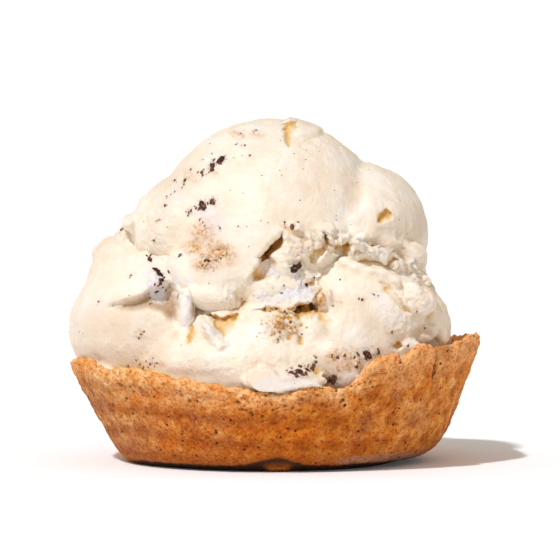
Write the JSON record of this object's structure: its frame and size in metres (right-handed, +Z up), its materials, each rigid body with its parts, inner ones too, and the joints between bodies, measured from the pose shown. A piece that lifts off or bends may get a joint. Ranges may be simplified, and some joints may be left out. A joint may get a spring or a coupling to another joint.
{
  "type": "ice cream in a cookie bowl",
  "caption": "Cookie ice cream heaped in a baked waffle cookie bowl with a flat base and a rim that dips in front.",
  "frame": {"origin": "on the table under the middle of the object's bounding box", "axes": "+Z up, -Y towards the low side of the rim that the picture shows in front, +X towards the high side of the rim and the lobe of the top scoop"},
  "size_m": [0.1026, 0.0949, 0.0859],
  "materials": {
    "biscuit": "baked waffle biscuit, dry, porous and toasted, with faint squares pressed into its side",
    "ice_cream": "scooped vanilla ice cream, soft and slightly wet, torn and fluffy where it was pulled",
    "cookie": "dark crumbly cookie, dry, part soaked by the cream"
  },
  "bodies": {
    "root": {"waffle_bowl": "biscuit", "bottom_scoop": "ice_cream", "top_scoop": "ice_cream", "cookie_piece_1": "cookie", "cookie_piece_2": "cookie", "cookie_piece_3": "cookie", "cookie_piece_4": "cookie", "cookie_piece_5": "cookie", "cookie_piece_6": "cookie", "cookie_piece_7": "cookie", "cookie_piece_8": "cookie"}
  },
  "joints": []
}
